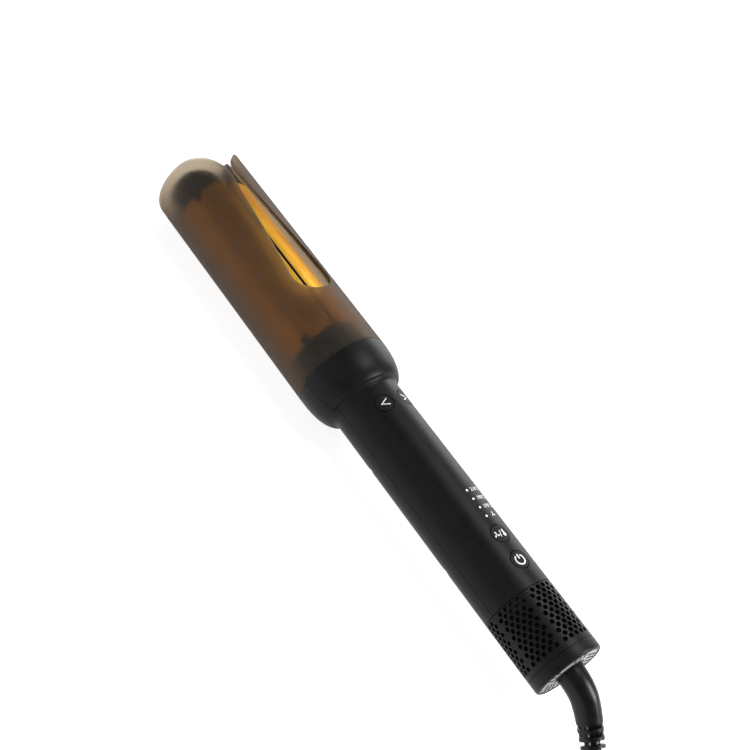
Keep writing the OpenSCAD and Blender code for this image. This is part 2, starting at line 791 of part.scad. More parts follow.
// Boot: leaves the base straight, then droops to the table
boot_points = [[0, y_base + boot_inside, 25.3], [0, y_base, 25.3], [0, y_base - 4, 25.0],
               [0.3, y_base - 8, 24.05], [0.6, y_base - 12, 22.4], [0.7, y_base - 16, 19.85],
               [0.5, y_base - 20, 17.05], [0, y_base - 24, 14.2], [-0.8, y_base - 28, 11.6],
               [-1.8, y_base - 32, 9.4], [-2.8, y_base - 36, 7.75], [-3.8, y_base - 40, 6.65],
               [-4.8, y_base - 44, 6.1], [-5.6, y_base - 48, 6.0]];
boot_radii = [7.1, 7.1, 7.0, 6.9, 6.7, 6.5, 6.2, 5.9, 5.8, 5.7, 5.6, 5.5, 5.4, 5.3];

// Lead from the boot to the hank's outer lane
lead_points = [[-5.6, y_base - 48, 6.0], [-6.6, y_base - 53, 5.6], [-8.3, y_base - 59, 4.8],
               [-11, y_base - 65.5, 3.9], [-14.8, y_base - 72, 3.3], [-19.4, y_base - 78.1, 3],
               [-23.9, y_base - 84.1, 3], [-27.5, y_base - 90.2, 3], [-29.7, y_base - 96.5, 3],
               [-30.4, y_base - 103, 3]];

// Hank: three lanes of lead on the table and more on top of them, folded at a run's length
hank_y = y_base - 103;
lane_pitch = cord_d + 0.2;
hank_in = 3 * cord_d - cord_r;
hank_out = 3 * cord_d + 2 * lane_pitch + cord_r;
hank_h = 2 * cord_d;
tie_t = 0.8;
tie_w = 10;
tie_up = 5;

// Tail from the top of the hank, over its near fold and down to the plug that lies inside it
tail_points = [[30.4, hank_y - 14, 9], [30.4, hank_y - 7, 9.6], [30.3, hank_y, 11.4],
               [28.9, hank_y + 7.7, 13.2], [24.5, hank_y + 14.1, 14.6], [18.1, hank_y + 18.5, 15.2],
               [10.4, hank_y + 20, 15.3], [2.7, hank_y + 18.5, 15.3], [-3.7, hank_y + 14.1, 15.2],
               [-8.1, hank_y + 7.7, 14.6], [-9.6, hank_y, 13.4], [-9.2, hank_y - 8, 11.9],
               [-7.6, hank_y - 16, 10.4], [-5.2, hank_y - 24, 9.2], [-2.8, hank_y - 32, 8.4],
               [-1.1, hank_y - 40, 8.05], [-0.5, hank_y - 46, 8]];

module cord_boot() { color(black) swept_tube(boot_points, boot_radii, 12); }
module cord_lead() { color(black) swept_tube(lead_points, [for (p = lead_points) cord_r], 10); }
module cord_end() { color(black) swept_tube(tail_points, [for (p = tail_points) cord_r], 10); }

// A round end at each fold and straight sides between them; the near fold lacks the outer lane
module lane_outline(r, near_r) {
  circle(r = near_r);
  translate([0, -hank_run]) circle(r = r);
  translate([-r, -hank_run]) square([2 * r, hank_run]);
}

module cord_hank() {
  color(black) translate([0, hank_y, 0]) linear_extrude(hank_h) difference() {
    lane_outline(hank_out, hank_out - lane_pitch);
    lane_outline(hank_in, hank_in);
  }
}

module cord_tie() {
  color(dark) translate([hank_in - tie_t, hank_y - hank_run + tie_up, 0]) difference() {
    cube([hank_out - hank_in + 2 * tie_t, tie_w, hank_h + tie_t]);
    translate([tie_t, -1, -1]) cube([hank_out - hank_in, tie_w + 2, hank_h + 1]);
  }
}

plug_at = [-0.5, hank_y - 44, 8];
plug_w = 26;
plug_h = 16;
neck_len = 12;
plug_face = 38;
plug_round = 3;
blade_size = [1.5, 17, 6.3];
blade_gap = 12.7;

// Children drawn with the plug's blades towards +Y are put in the hank, blades towards -Y
module at_plug() { translate(plug_at) rotate([0, 0, 180]) children(); }

// Four rods at the corners of a plug's section, for its hull
module plug_corners(y, len, r) {
  for (x = [-1, 1], z = [-1, 1])
    translate([x * (plug_w / 2 - plug_round), y, z * (plug_h / 2 - plug_round)])
      rotate([-90, 0, 0]) cylinder(r = r, h = len, $fn = 24);
}

module plug_body() {
  color(black) at_plug() {
    rotate([-90, 0, 0]) cylinder(r1 = 4.4, r2 = 6.5, h = neck_len);
    hull() {
      plug_corners(neck_len - 2, 1, 2);
      plug_corners(neck_len + 4, plug_face - neck_len - 4, plug_round);
    }
  }
}

module plug_blades() {
  color(brass) at_plug() for (x = [-1, 1]) difference() {
    translate([x * blade_gap / 2 - blade_size[0] / 2, plug_face, -blade_size[2] / 2]) cube(blade_size);
    translate([x * blade_gap / 2, plug_face + 13, 0]) rotate([0, 90, 0])
      cylinder(r = 1.6, h = 4, center = true);
  }
}

guard_shell();
front_housing();
rear_housing();
housing_screws();
intake_cage();
dust_filter();
base_ring();
base_vent_plate();
cord_gland();
fan_carrier();
fan_motor();
fan_impeller();
control_board();
tact_switches();
switch_bracket();
light_pipes();
left_button();
right_button();
mode_button();
power_button();
power_board();
power_parts();
drive_motor();
motor_gearbox();
motor_plate();
drive_pinion();
bearing_plate();
lower_bush();
upper_bulkhead();
upper_bush();
heat_shield();
barrel_shaft();
barrel_gear();
slip_ring_drum();
slip_rings();
brush_block();
barrel_base_ring();
barrel_main_shell();
barrel_jaw_shell();
slit_liner();
heater_core();
ptc_heaters();
temperature_sensors();
tip_cap();
supply_leads();
cord_boot();
cord_lead();
cord_hank();
cord_end();
cord_tie();
plug_body();
plug_blades();
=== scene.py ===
"""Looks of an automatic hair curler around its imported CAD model, in metres and in the CAD frame."""

import json
import math

import bmesh
import bpy
from mathutils import Matrix, Vector


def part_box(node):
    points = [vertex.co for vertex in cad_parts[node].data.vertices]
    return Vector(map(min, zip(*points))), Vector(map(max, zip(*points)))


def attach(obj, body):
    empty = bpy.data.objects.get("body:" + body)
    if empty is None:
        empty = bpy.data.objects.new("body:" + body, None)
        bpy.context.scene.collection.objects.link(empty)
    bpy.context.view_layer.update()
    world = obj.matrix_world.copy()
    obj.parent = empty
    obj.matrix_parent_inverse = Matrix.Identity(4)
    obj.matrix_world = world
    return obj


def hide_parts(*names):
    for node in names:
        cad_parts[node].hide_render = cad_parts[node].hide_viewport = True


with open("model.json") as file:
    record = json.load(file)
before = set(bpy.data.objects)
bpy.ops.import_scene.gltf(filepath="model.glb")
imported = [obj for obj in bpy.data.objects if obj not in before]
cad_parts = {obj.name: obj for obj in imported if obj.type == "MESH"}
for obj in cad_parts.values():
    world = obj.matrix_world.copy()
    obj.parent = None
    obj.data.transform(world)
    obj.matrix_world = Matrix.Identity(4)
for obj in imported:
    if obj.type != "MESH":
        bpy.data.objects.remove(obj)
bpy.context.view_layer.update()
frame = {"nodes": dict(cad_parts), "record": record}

MM = 0.001
GUARD_LOW, GUARD_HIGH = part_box("guard_shell")
CAGE_LOW, CAGE_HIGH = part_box("intake_cage")
BASE_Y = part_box("base_ring")[0].y
AXIS_Z = (GUARD_LOW.z + GUARD_HIGH.z) / 2
HANDLE_R = (CAGE_HIGH.x - CAGE_LOW.x) / 2


# ---- Camera: at the photograph's angle ----

CAMERA_AT = Vector((-0.42547, -0.24442, 0.43617))
CAMERA_TARGET = Vector((0.01765, 0.01439, 0.0253))
CAMERA_ROLL = math.radians(32.32)
CAMERA_LENS = 61.9
SENSOR_WIDTH = 36


def make_camera():
    """The camera that was fitted to the photograph."""
    data = bpy.data.cameras.new("camera")
    data.lens = CAMERA_LENS
    data.sensor_width = SENSOR_WIDTH
    camera = bpy.data.objects.new("camera", data)
    bpy.context.scene.collection.objects.link(camera)
    camera.rotation_mode = "QUATERNION"
    camera.location = CAMERA_AT
    look = (CAMERA_TARGET - CAMERA_AT).to_track_quat("-Z", "Y").to_matrix()
    camera.rotation_quaternion = (look @ Matrix.Rotation(CAMERA_ROLL, 3, "Z")).to_quaternion()
    bpy.context.scene.camera = camera


make_camera()


# ---- Materials ----

CLOUD_LOW, CLOUD_HIGH = 0.3, 0.7
NOISE_DETAIL = 3.0
BEVEL_SAMPLES = 4


def new_material(name):
    """A new material with its node tree and its shader."""
    material = bpy.data.materials.new(name)
    material.use_nodes = True
    tree = material.node_tree
    return material, tree, tree.nodes["Principled BSDF"]


def add(tree, kind, inputs=(), **settings):
    """A new node of this kind, with its settings, and values or links for its inputs."""
    node = tree.nodes.new(kind)
    for key, value in settings.items():
        setattr(node, key, value)
    for key, value in dict(inputs).items():
        if isinstance(value, bpy.types.NodeSocket):
            tree.links.new(value, node.inputs[key])
        else:
            node.inputs[key].default_value = value
    return node


def place(tree, stretch=(1, 1, 1)):
    """Coordinates in metres that stay on the piece, squeezed by stretch along each axis."""
    where = add(tree, "ShaderNodeTexCoord")
    inputs = {"Vector": where.outputs["Object"], "Scale": stretch}
    return add(tree, "ShaderNodeMapping", inputs).outputs["Vector"]


def noise(tree, size, stretch=(1, 1, 1)):
    """Clouds whose spots are about size metres across, mostly from CLOUD_LOW to CLOUD_HIGH."""
    inputs = {"Vector": place(tree, stretch), "Scale": 1 / size, "Detail": NOISE_DETAIL}
    return add(tree, "ShaderNodeTexNoise", inputs).outputs["Fac"]


def tones(tree, factor, colours):
    """Two colours spread over the clouds in factor."""
    ramp = add(tree, "ShaderNodeValToRGB", {"Fac": factor})
    for stop, position, colour in zip(ramp.color_ramp.elements, (CLOUD_LOW, CLOUD_HIGH), colours):
        stop.position = position
        stop.color = (*colour, 1)
    return ramp.outputs["Color"]


def spread(tree, factor, low, high):
    """The clouds in factor taken to values from low to high."""
    inputs = {"Value": factor, "From Min": CLOUD_LOW, "From Max": CLOUD_HIGH,
              "To Min": low, "To Max": high}
    return add(tree, "ShaderNodeMapRange", inputs).outputs["Result"]


def relief(tree, height, depth, edge):
    """Bumps that are depth metres deep, over edges rounded by edge metres."""
    rounded = add(tree, "ShaderNodeBevel", {"Radius": edge}, samples=BEVEL_SAMPLES).outputs["Normal"]
    inputs = {"Height": height, "Distance": depth, "Normal": rounded}
    return add(tree, "ShaderNodeBump", inputs).outputs["Normal"]


def surface(name, colours, roughness, cloud=6 * MM, grain=0.3 * MM, depth=0.01 * MM, edge=0.2 * MM,
            stretch=(1, 1, 1), **sockets):
    """A moulded or machined surface: clouds of close tones, an uneven gloss and a fine grain."""
    material, tree, shader = new_material(name)
    clouds = noise(tree, cloud, stretch)
    fine = noise(tree, grain, stretch)
    tree.links.new(tones(tree, clouds, colours), shader.inputs["Base Color"])
    tree.links.new(spread(tree, clouds, *roughness), shader.inputs["Roughness"])
    tree.links.new(relief(tree, fine, depth, edge), shader.inputs["Normal"])
    for key, value in sockets.items():
        shader.inputs[key.replace("_", " ")].default_value = value
    return material


SMOKE_TONES = [(0.60, 0.57, 0.50), (0.66, 0.63, 0.56)]
SMOKE_COLOUR = (0.60, 0.48, 0.34, 1)
SMOKE_DENSITY = 470.0


def smoked_plastic():
    """Frosted smoky plastic: light passes through, and a longer way in it takes more of the light."""
    material = surface("smoked_plastic", SMOKE_TONES, (0.56, 0.62), cloud=9 * MM, grain=0.5 * MM,
                       edge=0.3 * MM, Transmission_Weight=0.97, IOR=1.2)
    tree = material.node_tree
    smoke = add(tree, "ShaderNodeVolumeAbsorption", {"Color": SMOKE_COLOUR, "Density": SMOKE_DENSITY})
    tree.links.new(smoke.outputs["Volume"], tree.nodes["Material Output"].inputs["Volume"])
    return material


VENT_TONES = [(0.26, 0.26, 0.255), (0.34, 0.34, 0.33)]
# Near-black painted shade for the sides of the vent slots
SLOT_PAINTED_SHADE = (0.01, 0.01, 0.01, 1)


def vent_plastic():
    """Grey moulded plate, with painted shade on the sides of its slots."""
    material = surface("vent_grey", VENT_TONES, (0.45, 0.55))
    tree = material.node_tree
    shader = tree.nodes["Principled BSDF"]
    grey = shader.inputs["Base Color"].links[0].from_socket
    where = add(tree, "ShaderNodeTexCoord")
    facing = add(tree, "ShaderNodeSeparateXYZ", {"Vector": where.outputs["Normal"]})
    unshaded_face = add(tree, "ShaderNodeMath", {0: facing.outputs["Y"]}, operation="ABSOLUTE").outputs["Value"]
    # Painted shade: faces that don't face along y (the slot sides) get near-black in place of the grey
    mixed = add(tree, "ShaderNodeMixRGB", {"Fac": unshaded_face, "Color1": SLOT_PAINTED_SHADE, "Color2": grey})
    tree.links.new(mixed.outputs["Color"], shader.inputs["Base Color"])
    return material


GOLD_TONES = [(0.88, 0.45, 0.028), (0.94, 0.52, 0.04)]
GOLD_ROUGHNESS = 0.34, 0.42
GOLD_METALLIC = 0.68
GOLD_CLOUD, GOLD_STREAK, GOLD_DEPTH, GOLD_EDGE = 14 * MM, 0.4 * MM, 0.002 * MM, 0.2 * MM
ALONG_THE_TOOL = (1, 0.04, 1)


def gold_coating():
    """Golden ceramic coating of the hot barrel, with broad clouds and fine streaks along it."""
    material, tree, shader = new_material("gold_coating")
    clouds = noise(tree, GOLD_CLOUD)
    streaks = noise(tree, GOLD_STREAK, ALONG_THE_TOOL)
    tree.links.new(tones(tree, clouds, GOLD_TONES), shader.inputs["Base Color"])
    tree.links.new(spread(tree, streaks, *GOLD_ROUGHNESS), shader.inputs["Roughness"])
    tree.links.new(relief(tree, streaks, GOLD_DEPTH, GOLD_EDGE), shader.inputs["Normal"])
    shader.inputs["Metallic"].default_value = GOLD_METALLIC
    return material


# Each row: slot, name, darker tone, lighter tone, roughness range, other settings
SURFACES = [
    ("housing", "satin_black", (0.0060, 0.0060, 0.0065), (0.0085, 0.0085, 0.0090), (0.38, 0.43),
     {"Specular_IOR_Level": 0.12}),
    ("buttons", "button_black", (0.008, 0.008, 0.009), (0.012, 0.012, 0.013), (0.42, 0.50),
     {"edge": 0.3 * MM, "Specular_IOR_Level": 0.1}),
    ("dark_plastic", "dark_plastic", (0.014, 0.014, 0.014), (0.022, 0.022, 0.021), (0.5, 0.6), {}),
    ("heatproof", "heatproof_plastic", (0.016, 0.015, 0.014), (0.026, 0.024, 0.022), (0.45, 0.58), {}),
    ("filter", "filter_mesh", (0.008, 0.008, 0.008), (0.016, 0.016, 0.016), (0.8, 0.9),
     {"grain": 0.4 * MM, "depth": 0.1 * MM}),
    ("steel", "steel", (0.55, 0.56, 0.58), (0.66, 0.67, 0.69), (0.25, 0.35), {"Metallic": 1.0}),
    ("aluminium", "aluminium", (0.66, 0.67, 0.69), (0.76, 0.77, 0.79), (0.3, 0.42),
     {"stretch": (1, 0.05, 1), "Metallic": 1.0}),
    ("brass", "brass", (0.62, 0.42, 0.14), (0.76, 0.55, 0.22), (0.22, 0.34), {"Metallic": 1.0}),
    ("board", "circuit_board", (0.012, 0.075, 0.028), (0.02, 0.12, 0.045), (0.35, 0.45),
     {"cloud": 2 * MM}),
    # The light windows carry a painted glow: they emit light though nothing in them is lit
    ("lights", "light_windows", (0.82, 0.84, 0.86), (0.92, 0.93, 0.94), (0.3, 0.4),
     {"Emission_Color": (1.0, 0.98, 0.94, 1), "Emission_Strength": 0.35}),
    ("ceramic", "ceramic", (0.70, 0.66, 0.57), (0.80, 0.77, 0.68), (0.5, 0.6), {"cloud": 3 * MM}),
    ("gear_plastic", "gear_plastic", (0.72, 0.69, 0.60), (0.82, 0.79, 0.70), (0.4, 0.5), {}),
    ("wire", "wire_sleeve", (0.20, 0.035, 0.03), (0.28, 0.05, 0.04), (0.45, 0.55), {}),
    ("cord", "cord_rubber", (0.0042, 0.0042, 0.0045), (0.0066, 0.0066, 0.0070), (0.30, 0.37),
     {"grain": 0.25 * MM, "depth": 0.02 * MM, "Specular_IOR_Level": 0.2}),
    ("tie", "tie_fabric", (0.012, 0.012, 0.013), (0.03, 0.03, 0.032), (0.75, 0.9),
     {"cloud": 0.8 * MM, "grain": 0.35 * MM, "depth": 0.12 * MM, "Sheen_Weight": 0.4}),
    ("blades", "blade_nickel", (0.62, 0.60, 0.56), (0.74, 0.72, 0.68), (0.2, 0.32), {"Metallic": 1.0}),
    ("print", "white_print", (0.74, 0.75, 0.76), (0.86, 0.87, 0.88), (0.5, 0.62),
     {"cloud": 0.8 * MM, "edge": 0.01 * MM}),
]
MATERIALS = {"guard": smoked_plastic(), "gold": gold_coating(), "vent_grey": vent_plastic()}
for slot, name, darker, lighter, roughness, settings in SURFACES:
    MATERIALS[slot] = surface(name, [darker, lighter], roughness, **settings)


def finish_cad_nodes():
    """Every node shows the material of its own slot."""
    for part in frame["record"]["subparts"]:
        node = frame["nodes"][part["node"]]
        node.data.materials.clear()
        node.data.materials.append(MATERIALS[part["material_slot"]])


finish_cad_nodes()


# ---- Making pieces ----

def piece(name, verts, faces, material, body, smooth=True):
    """A mesh that rides on a CAD body."""
    mesh = bpy.data.meshes.new(name)
    mesh.from_pydata([tuple(v) for v in verts], [], faces)
    mesh.materials.append(material)
    mesh.polygons.foreach_set("use_smooth", [smooth] * len(mesh.polygons))
    obj = bpy.data.objects.new(name, mesh)
    bpy.context.scene.collection.objects.link(obj)
    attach(obj, body)
    return obj


def grid_faces(rings, sides):
    """Faces of a tube of rings, each with the same number of sides."""
    return [(i * sides + k, i * sides + (k + 1) % sides, (i + 1) * sides + (k + 1) % sides,
             (i + 1) * sides + k) for i in range(rings - 1) for k in range(sides)]


def smooth_line(points, step):
    """Points about step apart on a Catmull-Rom curve through the given ones."""
    ends = [2 * points[0] - points[1], *points, 2 * points[-1] - points[-2]]
    line = []
    for a, b, c, d in zip(ends, ends[1:], ends[2:], ends[3:]):
        count = max(1, round((c - b).length / step))
        for i in range(count):
            t = i / count
            line.append(0.5 * (2 * b + (c - a) * t + (2 * a - 5 * b + 4 * c - d) * t**2
                               + (3 * b - a - 3 * c + d) * t**3))
    return [*line, points[-1]]


def frames_along(line):
    """(point, side, upward, distance from the start) along a line, without any twist."""
    found = []
    side = None
    travelled = 0.0
    for i, point in enumerate(line):
        along = (line[min(i + 1, len(line) - 1)] - line[max(i - 1, 0)]).normalized()
        side = along.cross(Vector((0, 0, 1))) if side is None else side - along * side.dot(along)
        side.normalize()
        travelled += (point - line[i - 1]).length if i else 0.0
        found.append((point, side, side.cross(along), travelled))
    return found


# ---- Cord: boot, lead, hank, tie and plug ----

CORD_R = 3.0 * MM
LANE_PITCH = 6.2 * MM
LANE_IN, LANE_OUT = 17.75 * MM, 30.15 * MM
HANK_RUN = 90 * MM
RUN_POINTS, FOLD_POINTS = 6, 8
LOW_LAYER, HIGH_LAYER = 3.04 * MM, 9.04 * MM
TIE_W, TIE_T, TIE_UP = 10 * MM, 0.8 * MM, 5 * MM
TIE_SLOPE = 12 * MM
# In loops from the hank's start: where the lead changes lane or layer and how long that takes, and the
# least gap between the hank's last route point and the tail's first
LANES_IN, IN_SPAN = [0.625, 1.625], 0.125
LANES_OUT, OUT_SPAN = [3, 4], 0.25
CLIMB_AT, CLIMB_SPAN = 2.5, 0.125
ROUTE_GAP = 0.01
HANK_QUARTERS = 19


def from_base(points):
    """Points given in millimetres, with y counted from the base."""
    return [Vector((x * MM, BASE_Y + y * MM, z * MM)) for x, y, z in points]


BOOT_ROUTE = from_base([(0, 0, 25.3), (0, -4, 25.0), (0.3, -8, 24.05), (0.6, -12, 22.4),
                        (0.7, -16, 19.85), (0.5, -20, 17.05), (0, -24, 14.2), (-0.8, -28, 11.6),
                        (-1.8, -32, 9.4), (-2.8, -36, 7.75), (-3.8, -40, 6.65), (-4.8, -44, 6.1),
                        (-5.6, -48, 6.0)])
LEAD_ROUTE = from_base([(-6.6, -53, 5.6), (-8.3, -59, 4.8), (-11, -65.5, 3.9), (-14.8, -72, 3.3),
                        (-19.4, -78.1, 3), (-23.9, -84.1, 3), (-27.5, -90.2, 3), (-29.7, -96.5, 3)])
HANK_AT = from_base([(0, -103, 0)])[0]
TAIL_ROUTE = from_base([(30.4, -117, 9), (30.4, -110, 9.6), (30.3, -103, 11.4), (28.9, -95.3, 13.2),
                        (24.5, -88.9, 14.6), (18.1, -84.5, 15.2), (10.4, -83, 15.3), (2.7, -84.5, 15.3),
                        (-3.7, -88.9, 15.2), (-8.1, -95.3, 14.6), (-9.6, -103, 13.4), (-9.2, -111, 11.9),
                        (-7.6, -119, 10.4), (-5.2, -127, 9.2), (-2.8, -135, 8.4), (-1.1, -143, 8.05),
                        (-0.5, -149, 8)])


def ease(t):
    """A soft step from 0 to 1 while t goes from 0 to 1."""
    t = min(1.0, max(0.0, t))
    return t * t * (3 - 2 * t)


def hank_point(loops):
    """Centre of the lead so many loops into the hank: first inwards on the table, then outwards on top.

    Each loop goes down the left run, round the far fold, up the right run and round the near fold."""
    inwards = sum(ease((loops - start) / IN_SPAN) for start in LANES_IN)
    outwards = sum(ease((loops - start) / OUT_SPAN) for start in LANES_OUT)
    lane = LANE_OUT + LANE_PITCH * (outwards - inwards)
    quarter, share = divmod(4 * loops, 1)
    quarter = int(quarter) % 4
    turn = math.pi * share
    if quarter == 0:
        x, y = -lane, -HANK_RUN * share
    elif quarter == 1:
        x, y = -lane * math.cos(turn), -HANK_RUN - lane * math.sin(turn)
    elif quarter == 2:
        x, y = lane, -HANK_RUN * (1 - share)
    else:
        x, y = lane * math.cos(turn), lane * math.sin(turn)
    past_tie = abs(y + HANK_RUN - TIE_UP - TIE_W / 2) - TIE_W / 2
    lift = TIE_T * ease(1 - past_tie / TIE_SLOPE) if x > 0 else 0.0
    climb = ease((loops - CLIMB_AT) / CLIMB_SPAN)
    return HANK_AT + Vector((x, y, LOW_LAYER + (HIGH_LAYER - LOW_LAYER) * climb + lift))


def hank_route():
    """Points along the hank, up to where the tail leaves its last run."""
    points = []
    leaves_at = (HANK_QUARTERS - (HANK_AT.y - TAIL_ROUTE[0].y) / HANK_RUN) / 4
    for quarter in range(HANK_QUARTERS):
        count = FOLD_POINTS if quarter % 2 else RUN_POINTS
        for i in range(count):
            loops = (quarter + i / count) / 4
            if loops < leaves_at - ROUTE_GAP:
                points.append(hank_point(loops))
    return points


LEAD_RING_STEPS, LEAD_ROUTE_STEPS = 6, 8


def make_lead():
    """The whole lead as one round curve through its route, from the boot to the plug."""
    route = [*BOOT_ROUTE, *LEAD_ROUTE, *hank_route(), *TAIL_ROUTE]
    data = bpy.data.curves.new("mains_lead", "CURVE")
    data.dimensions = "3D"
    data.bevel_depth = CORD_R
    data.bevel_resolution = LEAD_RING_STEPS
    data.resolution_u = LEAD_ROUTE_STEPS
    data.use_fill_caps = True
    spline = data.splines.new("BEZIER")
    spline.bezier_points.add(len(route) - 1)
    for point, place_at in zip(spline.bezier_points, route):
        point.co = place_at
        point.handle_left_type = point.handle_right_type = "AUTO"
    data.materials.append(MATERIALS["cord"])
    lead = bpy.data.objects.new("mains_lead", data)
    bpy.context.scene.collection.objects.link(lead)
    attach(lead, "root")
    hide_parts("cord_lead", "cord_hank", "cord_end")
    return lead


BOOT_R0, BOOT_R1 = 7.1 * MM, 5.3 * MM
BOOT_STEP = 0.16 * MM
BOOT_SIDES = 64
BOOT_INSIDE = 6 * MM
BOOT_END = 0.8 * MM
BOOT_HOLE_R = CORD_R * 0.98
SLEEVE_LEN = 29.6 * MM
RIB_PITCH = 3.8 * MM
RIB_SHARE = 0.5
RIB_SLOPE = 0.05
BOOT_CORE_R = 3.5 * MM
BAR_TURN = math.radians(8)
BAR_FROM, BAR_SLOPE = 0.955, 0.03


def boot_radius(travelled, total, angle):
    """Outline of the boot: a plain sleeve, then ribs joined by four bars and by two, every two ribs."""
    taper = BOOT_R0 + (BOOT_R1 - BOOT_R0) * ease(travelled / total)
    if travelled < SLEEVE_LEN:
        return taper
    rib, share = divmod((travelled - SLEEVE_LEN) / RIB_PITCH, 1)
    solid = ease((abs(share - 0.5) - (1 - RIB_SHARE) / 2) / RIB_SLOPE + 0.5)
    turn = angle - BAR_TURN
    nearness = max(abs(math.cos(turn)), 0 if int(rib) // 2 % 2 else abs(math.sin(turn)))
    bar = ease((nearness - BAR_FROM) / BAR_SLOPE)
    return BOOT_CORE_R + (taper - BOOT_CORE_R) * max(solid, bar)


def make_boot():
    """The boot along its route, starting inside the gland and rounded down to the lead at its end."""
    line = smooth_line([BOOT_ROUTE[0] + Vector((0, BOOT_INSIDE, 0)), *BOOT_ROUTE], BOOT_STEP)
    stations = frames_along(line)
    total = stations[-1][3]
    verts = []
    for point, side, up, travelled in stations:
        end = math.sqrt(max(0.0, 1 - (max(0.0, travelled - total + BOOT_END) / BOOT_END) ** 2))
        for k in range(BOOT_SIDES):
            angle = 2 * math.pi * k / BOOT_SIDES
            radius = boot_radius(travelled, total, angle)
            radius = BOOT_HOLE_R + (radius - BOOT_HOLE_R) * end
            verts.append(point + radius * (math.cos(angle) * side + math.sin(angle) * up))
    faces = grid_faces(len(stations), BOOT_SIDES)
    boot = piece("strain_relief", verts, faces, MATERIALS["cord"], "root")
    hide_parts("cord_boot")
    return boot


TIE_CORNER = 2.5 * MM
TIE_UNDER, TIE_LAP = 0.5 * MM, 1.2 * MM


def make_tie():
    """Hook-and-loop strap round one run of the hank, with its end lapped over on top."""
    near, far = LANE_IN - CORD_R - TIE_T, LANE_OUT + CORD_R + TIE_T
    top = HIGH_LAYER + CORD_R + 2 * TIE_T
    path = [(far - TIE_CORNER - TIE_UNDER, top, 90, 0.0)]
    for x, z, start in [(near + TIE_CORNER, top - TIE_CORNER, 90), (near + TIE_CORNER, TIE_CORNER, 180),
                        (far - TIE_CORNER, TIE_CORNER, 270), (far - TIE_CORNER, top - TIE_CORNER, 360)]:
        for facing in range(start, start + 91, 15):
            turn = math.radians(facing)
            path.append((x + TIE_CORNER * math.cos(turn), z + TIE_CORNER * math.sin(turn), facing, 0.0))
    path += [(far - TIE_CORNER - TIE_LAP, top, 90, TIE_T), (near + TIE_CORNER, top, 90, TIE_T)]
    across = [(-0.5, -1.0), (-0.47, 0.0), (0.47, 0.0), (0.5, -1.0)]
    middle_y = HANK_AT.y - HANK_RUN + TIE_UP + TIE_W / 2
    verts = []
    for x, z, facing, raised in path:
        outward = Vector((math.cos(math.radians(facing)), 0, math.sin(math.radians(facing))))
        for share, depth in across:
            verts.append(Vector((x, middle_y + share * TIE_W, z)) + outward * (raised + depth * TIE_T))
    sides = len(across)
    faces = grid_faces(len(path), sides)
    last = (len(path) - 1) * sides
    faces += [tuple(range(sides - 1, -1, -1)), tuple(last + k for k in range(sides))]
    tie = piece("cord_strap", verts, faces, MATERIALS["tie"], "root", smooth=False)
    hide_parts("cord_tie")
    return tie


# The plug's neck: distance from its cord end and radius, in millimetres
PLUG_NECK = [(0.0, 4.4), (1.2, 4.8), (1.8, 4.1), (2.8, 4.1), (3.4, 5.2), (4.6, 5.3),
             (5.2, 4.4), (6.2, 4.4), (6.8, 5.7), (8.0, 5.8), (8.6, 4.8), (9.4, 4.8)]
# The plug's body: distance in millimetres, then width and height as shares of the CAD body's
PLUG_BODY = [(10.0, 0.62, 0.80), (10.6, 0.78, 0.90), (12.0, 0.90, 0.96), (14.5, 0.97, 1.0),
             (18.0, 0.99, 0.99), (24.0, 0.94, 0.92), (30.0, 0.97, 0.96), (35.0, 1.0, 1.0),
             (37.0, 0.985, 0.97), (38.0, 0.93, 0.87)]
PLUG_SIDES = 40
# Powers of the plug's outlines: 2 is an ellipse, and more comes nearer to a box
ROUND, BOXY = 2.0, 3.4


def make_plug():
    """Moulded plug: a ribbed neck, shoulders and a body with a waist to grip."""
    low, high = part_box("plug_body")
    middle = (low.x + high.x) / 2
    centre_z = (low.z + high.z) / 2
    half_w, half_h = (high.x - low.x) / 2, (high.z - low.z) / 2
    sections = [(y, r, r, ROUND) for y, r in PLUG_NECK]
    sections += [(y, half_w / MM * w, half_h / MM * h, BOXY) for y, w, h in PLUG_BODY]
    verts = []
    for y, w, h, power in sections:
        for k in range(PLUG_SIDES):
            angle = 2 * math.pi * k / PLUG_SIDES
            c, s = math.cos(angle), math.sin(angle)
            round_to = (abs(c) ** power + abs(s) ** power) ** (-1 / power)
            verts.append((middle - w * MM * c * round_to, high.y - y * MM,
                          centre_z + h * MM * s * round_to))
    faces = grid_faces(len(sections), PLUG_SIDES)
    faces.append(tuple(range(PLUG_SIDES - 1, -1, -1)))
    faces.append(tuple((len(sections) - 1) * PLUG_SIDES + k for k in range(PLUG_SIDES)))
    plug = piece("mains_plug", verts, faces, MATERIALS["cord"], "root")
    smooth = plug.modifiers.new("smooth", "SUBSURF")
    smooth.levels = smooth.render_levels = 1
    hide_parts("plug_body")
    return plug


lead = make_lead()
boot = make_boot()
tie = make_tie()
plug = make_plug()


# ---- Prints: icons and numbers on the handle ----

PRINT_UP = 0.03 * MM
PRINT_T = 0.03 * MM
PRINT_EDGE = 0.5 * MM
CUT_ROUNDS = 4
SHARPEST_TURN = 0.5


def on_handle(u, v, angle, y, radius):
    """The point at u to the right and v towards the tip from (angle, y), on a round surface."""
    turn = angle + u / radius
    return Vector((radius * math.sin(turn), y + v, AXIS_Z + radius * math.cos(turn)))


